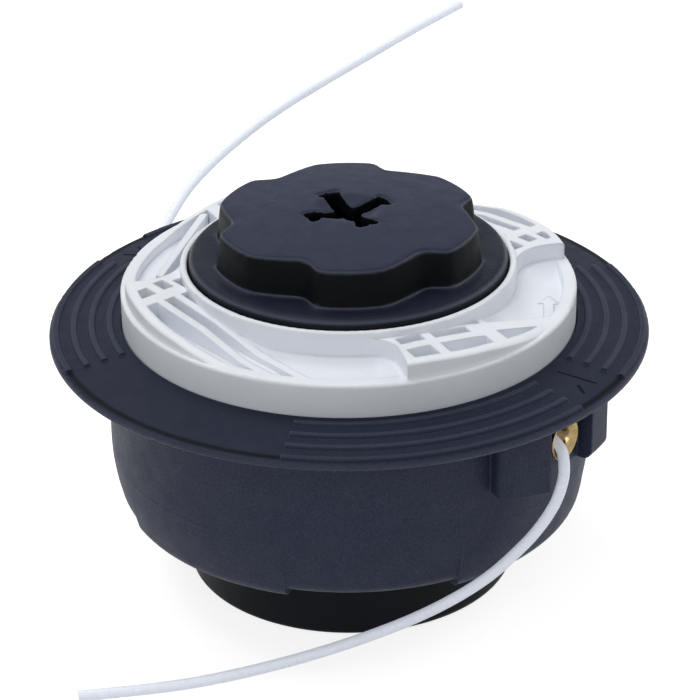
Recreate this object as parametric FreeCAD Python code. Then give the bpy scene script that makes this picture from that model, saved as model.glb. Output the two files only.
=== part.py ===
"""Bump feed trimmer head: a line reel in a flanged bowl, closed by a ribbed twist-lock cap.

The head stands on its drive collar with the bump knob up. The origin is on the spin axis at the
collar's lower rim, +Z points up and the two line eyelets lie on +X and -X. Millimetres, degrees.
"""
import FreeCAD
import Part
import math
import os

Vector = FreeCAD.Vector
UP = Vector(0, 0, 1)

# Drive collar, hub and thread
collar_radius = 36.3
collar_height = 18.4
collar_wall = 3.2
collar_edge = 1.2
web_thickness = 4.0
web_rib_depth = 4.0
web_rib_width = 2.0
web_rib_count = 8
hub_radius = 17.4
hub_wall = 2.4
hub_reach = 16.5
boss_wall = 3.6
insert_flats = 14.0
insert_length = 14.6
thread_bore_radius = 4.46
ring_thickness = 1.2
ring_width = 4.0
ring_groove = 0.8

# Housing: bowl, flange and eyelet bosses
body_radius = 52.8
body_wall = 3.3
body_height = 38.0
floor_thickness = 3.0
body_draft = 1.45
draft_height = 14.6
body_corner = 4.0
tab_drop = 1.5
tab_span = 48.0
tab_count = 4
tab_width = 8.5
flange_radius = 65.0
flange_edge = 1.9
flange_rise = 2.0
flange_round = 0.7
ridge_arcs = ((-62.5, -2.5), (12.5, 62.5))
ridge_share = 0.49
ridge_height = 0.55
ridge_count = 4
ridge_margin = 2.4
ridge_edge = 1.4
eyelet_lift = 29.6
guard_reach = 8.7
guard_slot_depth = 4.5
guard_slot_left = 8.2
guard_slot_right = 6.0
guard_left_drop = 16.4
guard_left_end = 18.0
guard_left_angle = -29.0
guard_left_reach = 4.1
guard_left_round = 3.0
guard_right_drop = 15.2
guard_right_end = 12.3
guard_right_reach = 8.2
guard_right_round = 2.5

# Eyelets and line
line_radius = 1.2
eyelet_bore = 2.2
eyelet_sleeve = 3.4
eyelet_flange = 4.3
eyelet_roll = 0.35
cord_arc_share = 0.45

# Cap: skirt, rim, plateau and scoops
cap_gap = 0.3
cap_rise = 7.1
plateau_rise = 3.8
plateau_inset = 0.9
plateau_round = 1.6
plateau_edge = 1.2
rim_width = 3.0
rim_round = 0.6
scoop_drop = 2.1
pocket_drop = 1.1
cap_plate = 2.8
skirt_depth = 9.8
skirt_wall = 4.6
inner_rim_width = 1.4
inner_rim_rise = 1.5
inner_rim_round = 0.45
scoop_floor_round = 5.5
twist_range = 25.0
lug_count = 4
lug_span = 10.0
lug_height = 3.0
lug_reach = 2.3
lug_gap = 0.4
lug_side_gap = 1.0
lug_lift = 3.2

# Reel, knob and feed mechanism
knob_gap = 0.4
knob_radius = 34.4
knob_skirt_rise = 0.1
knob_shoulder = 1.8
knob_wall = 3.0
grip_height = 8.4
grip_dome = 1.7
grip_lobes = 6
grip_crest = 28.3
grip_valley = 24.4
grip_draft = 1.045
grip_crest_span = 28.0
grip_first_rise = 57.0
grip_rise_span = 8.0
grip_fall_share = 0.42
grip_corner = 1.6
grip_edge = 0.8
slot_arms = 4
slot_reach = 9.6
slot_width = 3.8
slot_tip_width = 5.2
slot_tip_length = 1.7
slot_first_angle = 67.0
slot_dish_radius = 7.8
slot_dish_depth = 0.8
bump_travel = 6.0
press_gap = 0.8
axial_gap = 0.3
reel_flange = 3.0
reel_gap = 1.1
reel_web = 7.5
drum_wall = 2.6
run_fit = 0.06
dog_height = 3.9
dog_span = 14.0
dog_inset = 2.7
dog_margin = 1.0
dog_lead = 2.0
dog_count = 4
floor_dog_height = 3.0
floor_dog_span = 12.0
floor_dog_inner = 26.0
floor_dog_width = 14.0
floor_dog_count = 8
spigot_height = 4.0
spigot_wall = 2.0
spigot_fit = 0.1
wind_depth = 14.0
wind_gap = 0.2
washer_thickness = 1.5
spring_wire = 2.0
spring_coils = 6.0
spring_sides = 8
spring_gap = 0.5
line_hole_radius = 1.7
cut_margin = 1.0
cut_height = 20.0

# Levels, from the collar's lower rim up
z_body = collar_height
z_floor = z_body + floor_thickness
z_flange = z_body + body_height
z_edge = z_flange + flange_edge
z_mouth = z_edge + flange_rise
z_eyelet = z_body + eyelet_lift
z_rim = z_mouth + cap_rise
z_plateau = z_rim + plateau_rise
z_inner_rim = z_plateau + inner_rim_rise
z_scoop = z_rim - scoop_drop
z_pocket = z_rim - pocket_drop
z_plate = z_scoop - cap_plate
z_skirt = z_mouth - skirt_depth
z_hub_top = z_floor + hub_reach
z_reel_top = z_plate - axial_gap - dog_height
z_reel_low = z_floor + floor_dog_height + bump_travel + press_gap
z_reel_web = z_hub_top + bump_travel + press_gap
z_knob_rim = z_inner_rim + knob_skirt_rise
z_grip = z_knob_rim + knob_shoulder
z_grip_top = z_grip + grip_height
z_above = z_grip_top + cut_height
z_draft = z_body + draft_height

# Radii that follow from the sizes above
mouth_radius = body_radius - body_wall
cap_radius = mouth_radius - cap_gap
plateau_radius = cap_radius - plateau_inset
rim_inside = cap_radius - rim_width
cap_hole = knob_radius + knob_gap
inner_rim = cap_hole + inner_rim_width
hub_inside = hub_radius - hub_wall
drum_bore = hub_radius + run_fit
drum_radius = drum_bore + drum_wall
insert_boss = insert_flats / math.sqrt(3.0) + boss_wall
knob_cavity = knob_radius - knob_wall
grip_cavity = grip_valley - knob_wall
reel_radius = cap_radius - skirt_wall - reel_gap
dog_inner = cap_hole + dog_inset
dog_outer = reel_radius - dog_margin
wall_middle = body_radius - body_wall / 2.0
body_base = body_radius - body_draft
body_fall = draft_height - body_corner
body_sweep = (body_draft ** 2 + body_fall ** 2) / (2.0 * body_draft)
body_lean = math.degrees(math.atan2(body_fall, body_sweep - body_draft))
flange_lean = math.degrees(math.atan2(flange_rise, flange_radius - mouth_radius))
ridge_first = mouth_radius + ridge_margin
ridge_pitch = (flange_radius - ridge_edge - ridge_first) / (ridge_count - 1)
ridge_width = ridge_pitch * ridge_share
plateau_lean = math.degrees(math.asin(plateau_edge / plateau_round))
plateau_drop = plateau_round - plateau_round * math.cos(math.radians(plateau_lean))
far_out = flange_radius * 2.0

# The cap's raised segments. Each is a grid of straight ribs square to the direction it faces, from
# its end wall's angle onward. A pocket or a kept block is a run along the ribs and a span of offsets
# outward. A slope is the run where the top starts to fall and its angle, and the corner is the radius
# of the scoop's inner corner at the end wall.
left_pockets = (
    ((-19.5, -15.8), (39.6, 43.6)),
    ((-20.3, -16.3), (34.7, 37.3)),
    ((-18.6, -14.3), (31.0, 33.3)),
    ((-12.7, far_out), (41.8, far_out)),
    ((-12.7, far_out), (37.4, 39.9)),
    ((-12.7, 8.0), (33.0, 35.6)),
)
right_pockets = (
    ((-19.0, -15.4), (41.0, 43.0)),
    ((-17.6, -13.9), (37.0, 39.4)),
    ((-18.4, -14.2), (31.5, 34.6)),
    ((-11.4, far_out), (43.2, far_out)),
    ((-10.4, far_out), (39.3, 41.2)),
    ((-11.2, 8.0), (33.0, 36.2)),
)
short_pockets = (
    ((-8.3, -2.8), (41.7, far_out)),
    ((-8.1, -2.4), (36.4, 39.1)),
    ((-0.4, 10.2), (41.7, far_out)),
    ((-0.1, 8.2), (36.6, 39.1)),
)
front_pockets = short_pockets + (
    ((14.0, far_out), (39.5, far_out)),
)
long_slopes = ((-16.0, 4.6), (-6.2, 10.25))
short_slopes = ((-5.0, 4.0), (2.1, 8.7))
long_kept = (((-far_out, far_out), (35.4, far_out)),)
front_kept = (((-far_out, far_out), (35.6, far_out)), ((12.2, 14.0), (0.0, far_out)))
back_kept = (((-far_out, 13.2), (0.0, far_out)),)
right_segment = {"facing": 80.0, "wall": 51.5, "corner": 9.5, "slopes": long_slopes}
back_segment = {"facing": 157.0, "wall": 144.0, "corner": 8.2, "slopes": short_slopes}
left_segment = {"facing": 260.0, "wall": 229.0, "corner": 9.5, "slopes": long_slopes}
front_segment = {"facing": 337.0, "wall": 324.0, "corner": 5.8, "slopes": short_slopes}
right_segment.update(pockets=right_pockets, kept=long_kept)
back_segment.update(pockets=short_pockets, kept=back_kept)
left_segment.update(pockets=left_pockets, kept=long_kept)
front_segment.update(pockets=front_pockets, kept=front_kept)
segments = (right_segment, back_segment, left_segment, front_segment)

# Straight rib across the rear scoop
ridge_facing = 208.0
ridge_offset = 38.5
ridge_rib = 1.7
ridge_run = (-25.0, 13.0)
ridge_drop = 2.2

# Free ends of the line: points chosen by hand from the eyelet outward
front_route = (
    (50.4, 0.0, 48.0),
    (58.9, -0.6, 47.8),
    (60.8, -3.3, 43.5),
    (60.5, -4.2, 39.6),
    (59.8, -5.4, 35.6),
    (58.4, -7.9, 31.4),
    (56.5, -11.4, 27.3),
    (52.0, -19.2, 20.4),
    (44.4, -29.6, 14.4),
    (35.0, -41.2, 9.8),
    (25.2, -53.3, 6.5),
    (14.5, -65.5, 4.0),
    (4.1, -74.9, 2.3),
    (-5.1, -82.6, 1.2),
)
rear_route = (
    (-50.0, 0.0, 48.0),
    (-60.0, 0.6, 48.1),
    (-67.2, 8.0, 50.8),
    (-71.4, 19.1, 55.5),
    (-74.3, 30.5, 60.0),
    (-75.1, 45.0, 64.3),
    (-73.6, 60.5, 69.0),
    (-69.8, 75.5, 73.4),
    (-66.2, 90.5, 77.3),
    (-63.2, 105.0, 80.8),
    (-61.0, 118.4, 83.0),
)


def polar(radius, angle, z=0.0):
    """Point at a radius and an angle in degrees."""
    turn = math.radians(angle)
    return Vector(radius * math.cos(turn), radius * math.sin(turn), z)


def turned(shape, angle):
    """Copy of a shape turned about the spin axis."""
    copy = shape.copy()
    copy.rotate(Vector(0, 0, 0), UP, angle)
    return copy


def profile_point(point):
    """Point of a turned profile, given as radius and height."""
    return Vector(point[0], 0, point[1])


def revolve(points, span=360.0):
    """Solid turned from a closed profile of (radius, height) points; three in a tuple make an arc."""
    edges = []
    start = profile_point(points[0])
    here = start
    for item in points[1:] + [points[0]]:
        if isinstance(item[0], tuple):
            middle = profile_point(item[0])
            end = profile_point(item[1])
            edges.append(Part.Arc(here, middle, end).toShape())
        else:
            end = profile_point(item)
            edges.append(Part.LineSegment(here, end).toShape())
        here = end
    face = Part.Face(Part.Wire(edges))
    return face.revolve(Vector(0, 0, 0), UP, span)


def round_corner(centre, radius, start, end):
    """Arc of a profile about a centre, as its middle and end points."""
    points = []
    for angle in ((start + end) / 2.0, end):
        turn = math.radians(angle)
        points.append((centre[0] + radius * math.cos(turn), centre[1] + radius * math.sin(turn)))
    return tuple(points)


def tube(outer, inner, low, high):
    """Hollow cylinder on the spin axis."""
    return revolve([(inner, low), (outer, low), (outer, high), (inner, high)])


def sector(inner, outer, start, end, low, high):
    """Block of a ring between two angles."""
    piece = revolve([(inner, low), (outer, low), (outer, high), (inner, high)], end - start)
    return turned(piece, start)


def rib_block(facing, offsets, run, low, high):
    """Straight block across a direction, between two offsets and over a run along the ribs."""
    corner = Vector(offsets[0], run[0], low)
    block = Part.makeBox(offsets[1] - offsets[0], run[1] - run[0], high - low, corner)
    return turned(block, facing)


def union(shape, others):
    """One solid from a shape and all the others."""
    return shape.fuse(list(others)).removeSplitter()


def edges_where(shape, test):
    """Edges whose middle point passes a test."""
    found = []
    for edge in shape.Edges:
        middle = edge.valueAt((edge.FirstParameter + edge.LastParameter) / 2.0)
        if test(middle, edge):
            found.append(edge)
    return found


def flange_top(radius):
    """Height of the flange's sloping upper face at a radius."""
    share = (flange_radius - radius) / (flange_radius - mouth_radius)
    return z_edge + share * flange_rise


def bowl_side(low):
    """Outside of the bowl in profile: rounded bottom corner, then a curve that ends upright."""
    corner = (body_base - body_corner, low + body_corner)
    side = (body_radius - body_sweep - body_corner, low + draft_height)
    return [
        (body_base - body_corner, low),
        round_corner(corner, body_corner, -90, -body_lean),
        round_corner(side, body_sweep + body_corner, -body_lean, 0),
    ]


def housing_shell():
    """Bowl and flange turned in one profile, without the bosses."""
    round_middle = flange_radius - flange_round
    return revolve([
        (hub_radius + run_fit, z_body),
        *bowl_side(z_body),
        (body_radius, z_flange),
        (round_middle, z_flange),
        round_corner((round_middle, z_flange + flange_round), flange_round, -90, 0),
        (flange_radius, z_edge - flange_round),
        round_corner((round_middle, z_edge - flange_round), flange_round, 0, 90.0 - flange_lean),
        (mouth_radius, z_mouth),
        (mouth_radius, z_draft),
        (mouth_radius - body_draft, z_floor),
        (hub_radius + run_fit, z_floor),
    ])


def housing_tab(middle):
    """Lowered part of the bowl's bottom edge: the bowl's own outside, set down a little."""
    inner = body_base - tab_width
    low = z_body - tab_drop
    mid_floor = z_body + floor_thickness / 2.0
    piece = revolve([
        (inner, low),
        *bowl_side(low),
        (wall_middle, low + draft_height),
        (wall_middle - body_draft, mid_floor),
        (inner, mid_floor),
    ], tab_span)
    return turned(piece, middle - tab_span / 2.0)


def housing_ridge(radius, start, end):
    """One raised line of the flange's upper face, between two angles."""
    near = radius - ridge_width / 2.0
    far = radius + ridge_width / 2.0
    top = flange_top(radius) + ridge_height
    piece = revolve([
        (near, flange_top(near) - ridge_height),
        (far, flange_top(far) - ridge_height),
        (far, flange_top(far)),
        (radius + ridge_width / 4.0, top),
        (radius - ridge_width / 4.0, top),
        (near, flange_top(near)),
    ], end - start)
    return turned(piece, start)


def upright_block(corners, low, high):
    """Straight-sided block on a plan given as corner points."""
    points = [Vector(corner[0], corner[1], low) for corner in corners]
    return Part.Face(Part.makePolygon(points + [points[0]])).extrude(Vector(0, 0, high - low))


def left_cheek():
    """Cheek beside the front eyelet with a flat outer face and a rounded end."""
    turn = math.radians(guard_left_angle)
    plane = body_radius + guard_left_reach

    def face_x(y):
        return (plane - y * math.sin(turn)) / math.cos(turn)

    low = z_flange - guard_left_drop
    end = Vector(face_x(-guard_left_end), -guard_left_end, 0)
    back = end - Vector(math.cos(turn), math.sin(turn), 0) * 2.0 * guard_reach
    block = upright_block([
        (hub_radius, -guard_slot_left),
        (face_x(-guard_slot_left), -guard_slot_left),
        (end.x, end.y),
        (back.x, back.y),
    ], low, z_flange)

    def end_edge(middle, edge):
        return math.hypot(middle.x - end.x, middle.y - end.y) < 0.01

    return block.makeFillet(guard_left_round, edges_where(block, end_edge))


def right_cheek():
    """Cheek on the other side, rounded along its lower outer edge."""
    reach = body_radius + guard_right_reach
    low = z_flange - guard_right_drop
    block = sector(hub_radius, reach, 0.0, guard_right_end, low, z_flange)

    def low_edge(middle, edge):
        return math.hypot(middle.x, middle.y) > reach - 0.01 and middle.z < low + 0.01

    block = block.makeFillet(guard_right_round, edges_where(block, low_edge))
    below = Vector(0, -guard_slot_right, low - cut_margin)
    return block.cut(Part.makeBox(far_out, 2.0 * guard_slot_right, cut_height, below))


def eyelet_guard():
    """Two cheeks beside the front eyelet and the seat between them, outside the bowl's wall."""
    seat = body_radius + guard_reach - guard_slot_depth
    middle = upright_block([
        (hub_radius, -guard_slot_left),
        (seat, -guard_slot_left),
        (seat, guard_slot_right),
        (hub_radius, guard_slot_right),
    ], z_flange - guard_right_drop, z_flange)
    block = union(left_cheek(), [middle, right_cheek()])
    bowl = Part.makeCylinder(wall_middle, z_above)
    return block.cut(bowl)


def eyelet_hole():
    """Hole through the wall for an eyelet's sleeve, at +X."""
    start = Vector(hub_radius, 0, z_eyelet)
    return Part.makeCylinder(eyelet_sleeve + run_fit, flange_radius, start, Vector(1, 0, 0))


def housing():
    """Bowl, flange, eyelet guards, lowered tabs, floor dogs and bayonet lugs as one moulding."""
    pieces = []
    cuts = []
    for side in (0.0, 180.0):
        pieces.append(turned(eyelet_guard(), side))
        cuts.append(turned(eyelet_hole(), side))
        for number in range(ridge_count):
            for start, end in ridge_arcs:
                pieces.append(housing_ridge(ridge_first + number * ridge_pitch, side + start, side + end))
    for number in range(tab_count):
        pieces.append(housing_tab(number * 360.0 / tab_count))
    for number in range(floor_dog_count):
        start = (number + 0.5) * 360.0 / floor_dog_count - floor_dog_span / 2.0
        outer = floor_dog_inner + floor_dog_width
        low = z_floor - floor_thickness / 2.0
        high = z_floor + floor_dog_height
        pieces.append(sector(floor_dog_inner, outer, start, start + floor_dog_span, low, high))
    for number in range(lug_count):
        start = lug_angle(number) - lug_span / 2.0
        low = z_skirt + lug_lift
        inner = mouth_radius - lug_reach
        pieces.append(sector(inner, wall_middle, start, start + lug_span, low, low + lug_height))
    shape = union(housing_shell(), pieces)
    for item in cuts:
        shape = shape.cut(item)
    return shape


def lug_angle(number):
    """Middle of a bayonet lug, between the eyelets."""
    return (number + 0.5) * 360.0 / lug_count


def hexagon(flats, low, high):
    """Six-sided prism on the spin axis."""
    corners = [polar(flats / math.sqrt(3.0), 60.0 * number, low) for number in range(7)]
    return Part.Face(Part.makePolygon(corners)).extrude(Vector(0, 0, high - low))


def drive_collar():
    """Collar ring, ribbed web, insert boss and the hub tube that the reel turns on."""
    inside = collar_radius - collar_wall
    low_web = z_body - web_thickness
    boss_low = z_body - insert_length
    edge_low = (collar_radius - collar_edge, collar_edge)
    groove = hub_radius - ring_groove
    shape = revolve([
        (0, boss_low),
        (insert_boss, boss_low),
        (insert_boss, low_web),
        (inside, low_web),
        (inside, 0),
        (collar_radius - collar_edge, 0),
        round_corner(edge_low, collar_edge, -90, 0),
        (collar_radius, z_body),
        (hub_radius, z_body),
        (hub_radius, z_floor),
        (groove, z_floor),
        (groove, z_floor + ring_thickness),
        (hub_radius, z_floor + ring_thickness),
        (hub_radius, z_hub_top),
        (hub_inside, z_hub_top),
        (hub_inside, z_body),
        (0, z_body),
    ])
    ribs = []
    for number in range(web_rib_count):
        start = Vector(insert_boss - boss_wall / 2.0, -web_rib_width / 2.0, low_web - web_rib_depth)
        length = inside + collar_wall / 2.0 - start.x
        rib = Part.makeBox(length, web_rib_width, web_rib_depth + web_thickness / 2.0, start)
        ribs.append(turned(rib, (number + 0.5) * 360.0 / web_rib_count))
    shape = union(shape, ribs)
    return shape.cut(hexagon(insert_flats + 2.0 * run_fit, boss_low - cut_margin, z_body + cut_margin))


def thread_insert():
    """Steel hexagon with the drive thread's bore."""
    low = z_body - insert_length
    body = hexagon(insert_flats, low, z_body)
    start = Vector(0, 0, low - cut_margin)
    bore = Part.makeCylinder(thread_bore_radius, insert_length + 2.0 * cut_margin, start)
    return body.cut(bore)


def retaining_ring():
    """Split ring in the hub's groove, on the bowl's floor."""
    inner = hub_radius - ring_groove + run_fit
    ring = tube(inner + ring_width, inner, z_floor, z_floor + ring_thickness)
    gap = Part.makeBox(ring_width * 3.0, ring_width, ring_thickness * 3.0,
                       Vector(inner - ring_width, -ring_width / 2.0, z_floor - ring_thickness))
    return ring.cut(turned(gap, 90.0))


def eyelet():
    """Flared brass eyelet at +X: sleeve in the wall, rolled flange in the guard's slot."""
    seat = body_radius + guard_reach - guard_slot_depth
    crest = eyelet_flange - eyelet_roll
    face = seat + 2.0 * eyelet_roll
    flare = crest - eyelet_bore
    shape = revolve([
        (eyelet_bore, mouth_radius),
        (eyelet_sleeve, mouth_radius),
        (eyelet_sleeve, seat),
        (crest, seat),
        round_corner((crest, seat + eyelet_roll), eyelet_roll, -90, 90),
        round_corner((crest, face - flare), flare, 90, 180),
    ])
    shape.rotate(Vector(0, 0, 0), Vector(0, 1, 0), 90)
    shape.translate(Vector(0, 0, z_eyelet))
    return shape


def cap_ring():
    """Cap before its pockets: skirt, rim, raised plateau and inner rim."""
    edge = plateau_radius - plateau_edge
    return revolve([
        (cap_hole, z_plate),
        (cap_radius - skirt_wall, z_plate),
        (cap_radius - skirt_wall, z_skirt),
        (cap_radius, z_skirt),
        (cap_radius, z_rim - rim_round),
        round_corner((cap_radius - rim_round, z_rim - rim_round), rim_round, 0, 90),
        (plateau_radius, z_rim),
        (plateau_radius, z_plateau - plateau_drop),
        round_corner((edge, z_plateau - plateau_round), plateau_round, 90.0 - plateau_lean, 90),
        (inner_rim, z_plateau),
        (inner_rim, z_inner_rim - inner_rim_round),
        round_corner((inner_rim - inner_rim_round, z_inner_rim - inner_rim_round), inner_rim_round, 0, 90),
        (cap_hole + inner_rim_round, z_inner_rim),
        round_corner((cap_hole + inner_rim_round, z_inner_rim - inner_rim_round), inner_rim_round, 90, 180),
    ])


def sloping_lid(facing, slope):
    """Body under a copy of the plateau's rounded top, tilted to fall from a run onward."""
    edge = plateau_radius - plateau_edge
    fall = rim_width * 2.0 * math.tan(math.radians(plateau_lean))
    rim = plateau_radius + rim_width * 2.0
    lid = revolve([
        (0, z_skirt - cut_height),
        (rim, z_skirt - cut_height),
        (rim, z_plateau - plateau_drop - fall),
        (plateau_radius, z_plateau - plateau_drop),
        round_corner((edge, z_plateau - plateau_round), plateau_round, 90.0 - plateau_lean, 90),
        (0, z_plateau),
    ])
    lid.rotate(Vector(0, slope[0], z_plateau), Vector(1, 0, 0), -slope[1])
    return turned(lid, facing)


def ring_span(start, end, low, corner):
    """Region of the cap between its inner rim and outside, from one angle to another."""
    region = sector(inner_rim, cap_radius + rim_width, start, end, low, z_above)

    def inner_corner(middle, edge):
        upright = abs(edge.tangentAt(edge.FirstParameter).z) > 0.99
        near = math.hypot(middle.x, middle.y) < inner_rim + 0.01
        at_end = (middle - polar(inner_rim, end, middle.z)).Length < 0.01
        return upright and near and at_end

    return region.makeFillet(corner, edges_where(region, inner_corner))


def cap_ramp(segment, next_wall, corner):
    """What is cut above a segment's sloping top and above the scoop that follows it."""
    lids = [sloping_lid(segment["facing"], slope) for slope in segment["slopes"]]
    return ring_span(segment["wall"], next_wall, z_rim, corner).cut(lids[0].common(lids[1]))


def cap_scoop(segment, next_wall, corner):
    """Smooth finger scoop from a segment's last rib to the next segment's end wall."""
    start = segment["facing"]
    region = sector(inner_rim, rim_inside, start, next_wall, z_scoop, z_above)

    def inner_corner(middle, edge):
        upright = abs(edge.tangentAt(edge.FirstParameter).z) > 0.99
        return upright and (middle - polar(inner_rim, next_wall, middle.z)).Length < 0.01

    region = region.makeFillet(corner, edges_where(region, inner_corner))

    def floor_edge(middle, edge):
        low = abs(middle.z - z_scoop) < 0.01
        inside = math.hypot(middle.x, middle.y) < rim_inside - 0.01
        along = math.degrees(math.atan2(middle.y, middle.x)) - start
        at_start = abs((along + 180.0) % 360.0 - 180.0) < 0.1
        return low and inside and not at_start

    region = region.makeFillet(scoop_floor_round, edges_where(region, floor_edge))
    for run, offsets in segment["kept"]:
        region = region.cut(rib_block(start, offsets, run, z_skirt, z_above + cut_margin))
    return region


def cap_pockets(segment):
    """Pockets between the straight ribs of a segment."""
    area = tube(rim_inside, inner_rim, z_pocket, z_above)
    pockets = []
    for run, offsets in segment["pockets"]:
        block = rib_block(segment["facing"], offsets, run, z_pocket, z_above)
        pockets.append(block.common(area))
    return pockets


def scoop_ridge():
    """Straight rib that crosses the rear scoop and climbs towards the next end wall."""
    low = z_scoop - cap_plate / 2.0
    corners = [
        Vector(0, ridge_run[0], low),
        Vector(0, ridge_run[0], z_plateau - ridge_drop),
        Vector(0, ridge_run[1], z_plateau),
        Vector(0, ridge_run[1], low),
    ]
    face = Part.Face(Part.makePolygon(corners + [corners[0]]))
    rib = face.extrude(Vector(ridge_rib, 0, 0))
    rib.translate(Vector(ridge_offset - ridge_rib / 2.0, 0, 0))
    return turned(rib, ridge_facing).common(tube(plateau_radius - plateau_edge, inner_rim, low, z_above))


def bayonet_slot(number):
    """L-shaped track in the skirt's outside: an entry from below and an arm to turn along."""
    half = lug_span / 2.0 + lug_side_gap
    start = lug_angle(number) - half - twist_range
    end = lug_angle(number) + half
    floor = mouth_radius - lug_reach - lug_gap
    low = z_skirt + lug_lift - lug_gap
    high = z_skirt + lug_lift + lug_height + lug_gap
    outside = cap_radius + rim_width
    arm = sector(floor, outside, start, end, low, high)
    entry = sector(floor, outside, start, end - twist_range, z_skirt - cut_margin, high)
    return arm.fuse(entry)


def cap():
    """White ribbed cap with its pockets, scoops, bayonet tracks and reel stops."""
    shape = cap_ring()
    for number, segment in enumerate(segments):
        following = segments[(number + 1) % len(segments)]
        next_wall = segment["wall"] + (following["wall"] - segment["wall"]) % 360.0
        shape = shape.cut(cap_ramp(segment, next_wall, following["corner"]))
        shape = shape.cut(cap_scoop(segment, next_wall, following["corner"]))
        for pocket in cap_pockets(segment):
            shape = shape.cut(pocket)
    for number in range(lug_count):
        shape = shape.cut(bayonet_slot(number))
    additions = [scoop_ridge()]
    for number in range(dog_count):
        start = number * 360.0 / dog_count + dog_span / 2.0 + dog_lead
        low = z_plate - dog_height
        high = z_plate + cap_plate / 2.0
        additions.append(sector(dog_inner, dog_outer, start, start + dog_span, low, high))
    return union(shape, additions)


def grip_outline(scale, z):
    """Closed outline of the lobed grip: crest arc, long fall and short steep rise for each lobe."""
    edges = []
    pitch = 360.0 / grip_lobes
    crest = grip_crest * scale
    valley = grip_valley * scale
    for number in range(grip_lobes):
        rise = grip_first_rise + number * pitch
        fall_end = pitch - grip_rise_span
        first = polar(crest, rise, z)
        last = polar(crest, rise + grip_crest_span, z)
        dip = polar(valley, rise + fall_end, z)
        bend_radius = valley + (crest - valley) * grip_fall_share
        bend = polar(bend_radius, rise + (grip_crest_span + fall_end) / 2.0, z)
        following = polar(crest, rise + pitch, z)
        edges.append(Part.Arc(first, polar(crest, rise + grip_crest_span / 2.0, z), last).toShape())
        edges.append(Part.Arc(last, bend, dip).toShape())
        edges.append(Part.LineSegment(dip, following).toShape())
    return Part.Wire(edges)


def knob_grip():
    """Lobed, slightly drafted and domed grip of the knob."""
    top = z_grip_top + grip_dome
    foot = grip_outline(grip_draft, z_grip - cut_margin / 2.0)
    head = grip_outline(1.0, top + 2.0 * cut_margin)
    grip = Part.makeLoft([foot, head], True, True)

    def upright(middle, edge):
        return abs(edge.tangentAt(edge.FirstParameter).z) > 0.9

    grip = grip.makeFillet(grip_corner, edges_where(grip, upright))
    ball = (grip_crest ** 2 + grip_dome ** 2) / (2.0 * grip_dome)
    dome = Part.makeSphere(ball, Vector(0, 0, 0), Vector(1, 0, 0))
    dome.rotate(Vector(0, 0, 0), Vector(1, 0, 0), 90)
    dome.translate(Vector(0, 0, top - ball))
    grip = grip.common(dome)

    def top_edge(middle, edge):
        level = abs(edge.tangentAt(edge.FirstParameter).z) < 0.5
        return level and middle.z > z_grip + grip_height / 2.0

    return grip.makeFillet(grip_edge, edges_where(grip, top_edge))


def bump_knob():
    """Knob: piston in the cap's hole, shoulder, lobed grip and the cross slot in its crown."""
    inner = knob_radius - knob_shoulder
    base = revolve([
        (0, z_reel_top),
        (knob_radius, z_reel_top),
        (knob_radius, z_knob_rim),
        round_corner((inner, z_knob_rim), knob_shoulder, 0, 90),
        (0, z_grip),
    ])
    shape = union(base, [knob_grip()])
    crown = z_grip_top - knob_wall
    below = z_reel_top - cut_margin
    cavity = revolve([
        (0, below),
        (knob_cavity, below),
        (knob_cavity, z_knob_rim - knob_wall),
        (grip_cavity, z_knob_rim - knob_wall),
        (grip_cavity, crown),
        (0, crown),
    ])
    shape = shape.cut(cavity)
    dish_low = z_grip_top + grip_dome - slot_dish_depth * 1.5
    dish = Part.makeCone(slot_dish_radius / 2.0, slot_dish_radius + cut_margin, slot_dish_depth * 2.0,
                         Vector(0, 0, dish_low))
    shape = shape.cut(dish)
    low = crown - cut_margin
    for number in range(slot_arms):
        tip_start = slot_reach - slot_tip_length
        arm = Part.makeBox(slot_reach, slot_width, z_above - low, Vector(0, -slot_width / 2.0, low))
        tip = Part.makeBox(slot_tip_length, slot_tip_width, z_above - low,
                           Vector(tip_start, -slot_tip_width / 2.0, low))
        shape = shape.cut(turned(arm.fuse(tip), slot_first_angle + number * 360.0 / slot_arms))
    return shape


def spool():
    """Reel: drum on the hub, two flanges, dogs above and below, cross hole and spigot."""
    low = z_reel_low
    web_top = z_reel_web + reel_web
    spigot = knob_cavity - spigot_fit
    shape = revolve([
        (drum_bore, low),
        (reel_radius, low),
        (reel_radius, low + reel_flange),
        (drum_radius, low + reel_flange),
        (drum_radius, z_reel_top - reel_flange),
        (reel_radius, z_reel_top - reel_flange),
        (reel_radius, z_reel_top),
        (spigot, z_reel_top),
        (spigot, z_reel_top + spigot_height),
        (spigot - spigot_wall, z_reel_top + spigot_height),
        (spigot - spigot_wall, z_reel_top),
        (drum_radius - drum_wall, z_reel_top),
        (drum_radius - drum_wall, web_top),
        (0, web_top),
        (0, z_reel_web),
        (drum_bore, z_reel_web),
    ])
    dogs = []
    for number in range(dog_count):
        start = number * 360.0 / dog_count - dog_span / 2.0
        base = z_reel_top - reel_flange / 2.0
        dogs.append(sector(dog_inner, dog_outer, start, start + dog_span, base, z_reel_top + dog_height))
    for number in range(floor_dog_count):
        start = number * 360.0 / floor_dog_count - floor_dog_span / 2.0
        outer = floor_dog_inner + floor_dog_width
        foot = low - floor_dog_height
        base = low + reel_flange / 2.0
        dogs.append(sector(floor_dog_inner, outer, start, start + floor_dog_span, foot, base))
    shape = union(shape, dogs)
    mouth = Vector(-reel_radius, 0, z_eyelet)
    hole = Part.makeCylinder(line_hole_radius, reel_radius * 2.0, mouth, Vector(1, 0, 0))
    return shape.cut(hole)


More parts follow.
